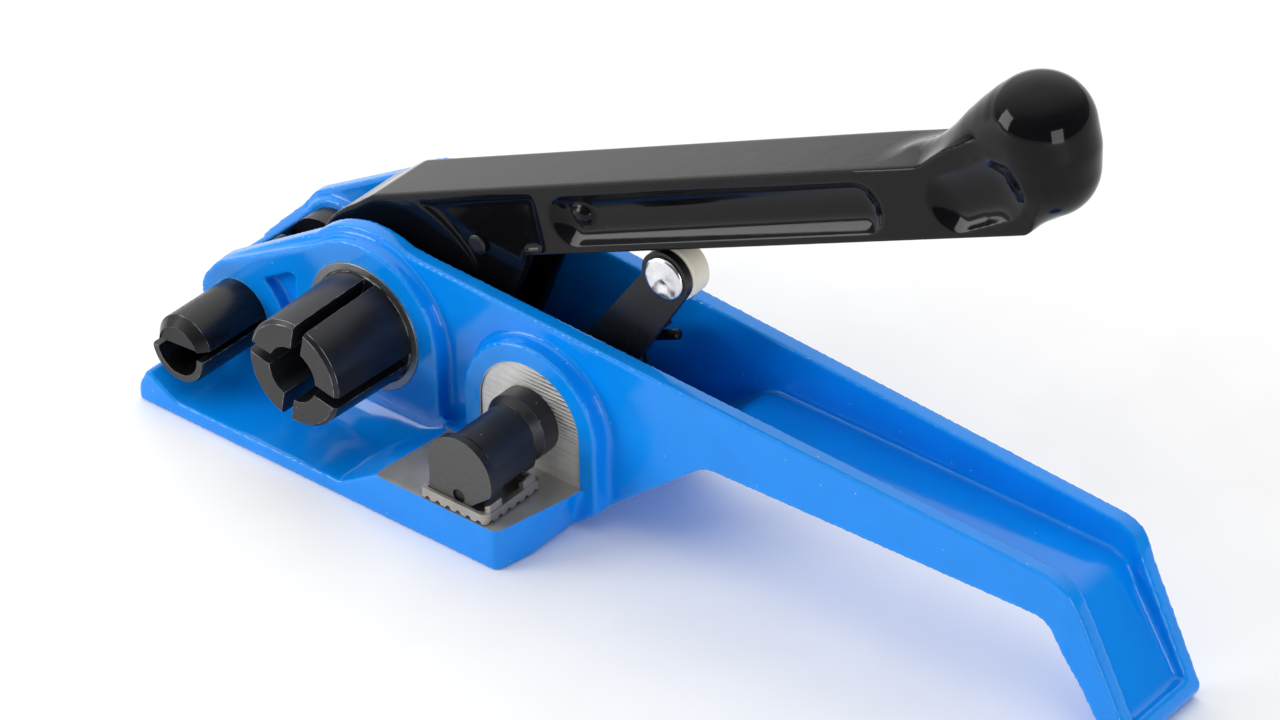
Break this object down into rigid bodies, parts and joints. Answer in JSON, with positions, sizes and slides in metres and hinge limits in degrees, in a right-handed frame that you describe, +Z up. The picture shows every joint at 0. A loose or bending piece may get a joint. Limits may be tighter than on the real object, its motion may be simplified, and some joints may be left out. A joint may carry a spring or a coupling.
{
  "type": "strapping tensioner",
  "caption": "Hand windlass strapping tensioner: cast handle frame, ratchet lever, slotted drum, sprung gripper with roller arm, and strap cutter.",
  "frame": {"origin": "on the foot's underside, straight below the windlass axis, on the middle plane between the frame's two walls", "axes": "+X from the nose to the handle's tail, -Y towards the open side where the strap is laid in, +Z up from the package"},
  "size_m": [0.2709, 0.0744, 0.1542],
  "materials": {
    "blue_paint": "glossy bright blue enamel on a casting",
    "black_paint": "glossy black enamel on a casting",
    "black_oxide": "satin black oxide",
    "bare_steel": "bare ground steel",
    "bush_steel": "turned steel, satin",
    "zinc_steel": "bright zinc plate",
    "spring_steel": "drawn spring wire",
    "nylon": "cream nylon, satin"
  },
  "bodies": {
    "frame": {"frame_casting": "blue_paint", "windlass_bush_near": "bush_steel", "windlass_bush_far": "bush_steel", "holding_pawl_pin": "bare_steel", "holding_pawl_spring": "spring_steel", "spring_anchor_pin": "zinc_steel", "cutter_blade": "black_oxide", "cutter_nut": "zinc_steel", "cutter_spring": "spring_steel"},
    "windlass": {"windlass_drum": "black_oxide", "ratchet_wheel": "black_oxide", "ratchet_key": "bare_steel", "windlass_spacer_near": "bare_steel", "windlass_spacer_far": "bare_steel", "windlass_washer": "zinc_steel", "windlass_circlip": "black_oxide"},
    "lever": {"lever_casting": "black_paint", "lever_bush_near": "bush_steel", "lever_bush_far": "bush_steel", "drive_pawl_pin": "zinc_steel", "drive_pawl_spring": "spring_steel"},
    "drive_pawl": {"drive_pawl": "black_oxide"},
    "holding_pawl": {"holding_pawl": "black_oxide"},
    "gripper": {"gripper_shaft": "black_oxide", "jaw_pin": "bare_steel", "release_arm": "black_oxide", "arm_key": "bare_steel", "gripper_spring": "spring_steel", "roller_axle": "zinc_steel", "roller_washer": "zinc_steel", "gripper_washer": "zinc_steel", "gripper_circlip": "black_oxide"},
    "jaw": {"gripper_jaw": "bare_steel"},
    "roller": {"roller": "nylon"},
    "cutter": {"cutter_sleeve": "black_oxide", "cutter_arm": "black_oxide", "cutter_arm_screw": "black_oxide"}
  },
  "joints": [
    {"name": "lever_swing", "type": "hinge", "parent": "frame", "child": "lever", "pos_m": [0, 0, 0.03], "axis": [0, -1, 0], "range_deg": [0, 90]},
    {"name": "windlass_spin", "type": "hinge", "parent": "frame", "child": "windlass", "pos_m": [0, -0.0225, 0.03], "axis": [0, 1, 0], "continuous": true},
    {"name": "drive_pawl_lift", "type": "hinge", "parent": "lever", "child": "drive_pawl", "pos_m": [0.02613, 0, 0.05748], "axis": [0, -1, 0], "range_deg": [0, 10], "stiffness_Nm_per_rad": 0.05, "springref_deg": -22.92},
    {"name": "holding_pawl_lift", "type": "hinge", "parent": "frame", "child": "holding_pawl", "pos_m": [0.026, 0, 0.013], "axis": [0, -1, 0], "range_deg": [0, 10], "stiffness_Nm_per_rad": 0.05, "springref_deg": -22.92},
    {"name": "gripper_turn", "type": "hinge", "parent": "frame", "child": "gripper", "pos_m": [0.0508, -0.0225, 0.025], "axis": [0, 1, 0], "range_deg": [0, 16], "stiffness_Nm_per_rad": 0.6, "springref_deg": -34.38},
    {"name": "jaw_rock", "type": "hinge", "parent": "gripper", "child": "jaw", "pos_m": [0.0493, -0.0375, 0.0159], "axis": [0, -1, 0], "range_deg": [0, 11.2]},
    {"name": "roller_spin", "type": "hinge", "parent": "gripper", "child": "roller", "pos_m": [0.0804, 0, 0.069], "axis": [0, 1, 0], "continuous": true},
    {"name": "cutter_turn", "type": "hinge", "parent": "frame", "child": "cutter", "pos_m": [-0.041, -0.0225, 0.0175], "axis": [0, -1, 0], "range_deg": [0, 35], "stiffness_Nm_per_rad": 0.1, "springref_deg": -34.38}
  ],
  "couplings": [
    {"joint": "jaw_rock", "follows": "gripper_turn", "ratio": 0.7}
  ]
}
